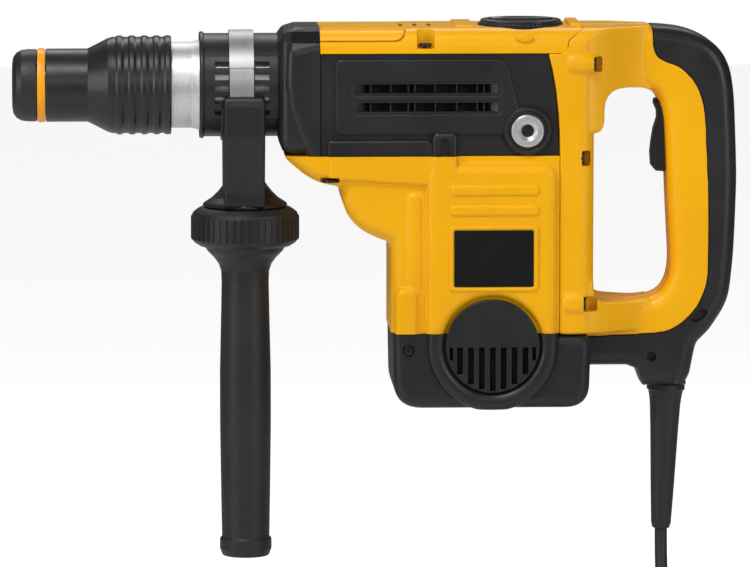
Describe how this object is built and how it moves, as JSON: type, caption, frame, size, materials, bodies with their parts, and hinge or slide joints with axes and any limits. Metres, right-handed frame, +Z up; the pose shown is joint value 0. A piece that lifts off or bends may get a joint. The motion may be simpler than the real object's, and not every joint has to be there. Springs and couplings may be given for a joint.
{
  "type": "demolition hammer",
  "caption": "Corded demolition hammer with keyed tool socket, locking sleeve, swinging side handle, D-handle with trigger, mode dial and coiled cord.",
  "frame": {"origin": "centre of the mouth of the tool socket, on the hammer axis", "axes": "+X runs back from the socket to the D-handle, +Z is up, -Y is the operator's left side"},
  "size_m": [0.453, 0.0972, 0.5829],
  "materials": {
    "black_plastic": "satin, fine moulded texture",
    "yellow_plastic": "satin gloss yellow",
    "black_rubber": "matt",
    "cord_rubber": "matt",
    "tie_plastic": "matt",
    "sleeve_plastic": "satin",
    "orange_plastic": "satin",
    "brushed_steel": "brushed, bright",
    "hard_steel": "ground",
    "gear_steel": "machined, oiled",
    "screw_steel": "black oxide",
    "case_alloy": "die cast",
    "copper": null,
    "lamination": "stacked iron laminations",
    "label_film": "plain black film"
  },
  "bodies": {
    "body": {"barrel_tube": "brushed_steel", "shaft_seal": "black_rubber", "spindle_bearing": "hard_steel", "front_collar": "black_plastic", "front_housing": "black_plastic", "gear_case": "case_alloy", "top_cover": "yellow_plastic", "left_side_cover": "black_plastic", "right_side_cover": "black_plastic", "motor_housing": "yellow_plastic", "end_cap": "black_plastic", "left_vent_grille": "black_plastic", "right_vent_grille": "black_plastic", "handle_left_shell": "yellow_plastic", "handle_right_shell": "yellow_plastic", "handle_grip": "black_plastic", "label_plate": "label_film", "left_handle_bush": "brushed_steel", "right_handle_bush": "brushed_steel", "top_screw": "screw_steel", "handle_screws": "screw_steel", "end_cap_screws": "screw_steel", "switch_module": "black_plastic", "trigger_pin": "brushed_steel", "stator": "lamination", "motor_bearings": "hard_steel", "cord_guard": "black_rubber", "cord": "cord_rubber", "cord_coil": "cord_rubber", "cord_tie": "tie_plastic", "cord_plug": "cord_rubber"},
    "spindle": {"tool_holder": "hard_steel", "nose_cap": "black_rubber", "marker_ring": "orange_plastic", "locking_bars": "hard_steel", "cylinder_tube": "hard_steel", "bevel_gear": "gear_steel"},
    "sleeve": {"locking_sleeve": "sleeve_plastic", "sleeve_spring": "hard_steel"},
    "beat": {"beat_piece": "hard_steel"},
    "ram": {"striker": "hard_steel"},
    "piston_unit": {"piston": "case_alloy", "piston_seal": "black_rubber", "wrist_pin": "hard_steel", "connecting_rod": "case_alloy"},
    "crank": {"crank_gear": "gear_steel"},
    "idler": {"intermediate_shaft": "gear_steel"},
    "rotor": {"armature_shaft": "hard_steel", "armature_core": "copper", "commutator": "copper", "cooling_fan": "black_plastic"},
    "selector": {"selector_dial": "black_plastic"},
    "clutch": {"clutch_sleeve": "gear_steel"},
    "trigger_lever": {"trigger": "black_plastic"},
    "side_handle": {"bracket": "black_plastic", "clamp_band": "brushed_steel", "clamp_bolt": "brushed_steel"},
    "side_twist": {"knurled_knob": "black_rubber", "side_grip": "black_rubber"}
  },
  "joints": [
    {"name": "spindle_spin", "type": "hinge", "parent": "body", "child": "spindle", "pos_m": [0, 0, 0], "axis": [1, 0, 0], "continuous": true},
    {"name": "sleeve_slide", "type": "slide", "parent": "spindle", "child": "sleeve", "axis": [1, 0, 0], "range_m": [0, 0.012], "stiffness_N_per_m": 1500, "springref_m": -0.01},
    {"name": "beat_slide", "type": "slide", "parent": "spindle", "child": "beat", "axis": [-1, 0, 0], "range_m": [0, 0.004]},
    {"name": "piston_slide", "type": "slide", "parent": "body", "child": "piston_unit", "axis": [-1, 0, 0], "range_m": [0, 0.028]},
    {"name": "ram_slide", "type": "slide", "parent": "spindle", "child": "ram", "axis": [-1, 0, 0], "range_m": [0, 0.028]},
    {"name": "rotor_spin", "type": "hinge", "parent": "body", "child": "rotor", "pos_m": [0.2903, 0, -0.1], "axis": [0, 0, 1], "continuous": true},
    {"name": "crank_spin", "type": "hinge", "parent": "body", "child": "crank", "pos_m": [0.2573, 0, -0.042], "axis": [0, 0, 1], "continuous": true},
    {"name": "idler_spin", "type": "hinge", "parent": "body", "child": "idler", "pos_m": [0.21155, 0, -0.042], "axis": [0, 0, 1], "continuous": true},
    {"name": "selector_turn", "type": "hinge", "parent": "body", "child": "selector", "pos_m": [0.31, 0, 0.036], "axis": [0, 0, 1], "range_deg": [0, 90]},
    {"name": "clutch_slide", "type": "slide", "parent": "spindle", "child": "clutch", "axis": [-1, 0, 0], "range_m": [0, 0.006]},
    {"name": "trigger_pull", "type": "hinge", "parent": "body", "child": "trigger_lever", "pos_m": [0.4045, 0, -0.0125], "axis": [0, -1, 0], "range_deg": [0, 5], "stiffness_Nm_per_rad": 2, "springref_deg": -22.92},
    {"name": "side_handle_swing", "type": "hinge", "parent": "body", "child": "side_handle", "pos_m": [0.1372, 0, 0], "axis": [1, 0, 0], "continuous": true},
    {"name": "side_grip_twist", "type": "hinge", "parent": "side_handle", "child": "side_twist", "pos_m": [0.1372, 0, -0.15], "axis": [0, 0, 1], "continuous": true}
  ],
  "couplings": [
    {"joint": "crank_spin", "follows": "rotor_spin", "ratio": -0.22222},
    {"joint": "idler_spin", "follows": "rotor_spin", "ratio": 0.32},
    {"joint": "spindle_spin", "follows": "rotor_spin", "ratio": 0.16},
    {"joint": "ram_slide", "follows": "piston_slide", "ratio": 1},
    {"joint": "clutch_slide", "follows": "selector_turn", "m_per_rad": 0.0038159}
  ]
}
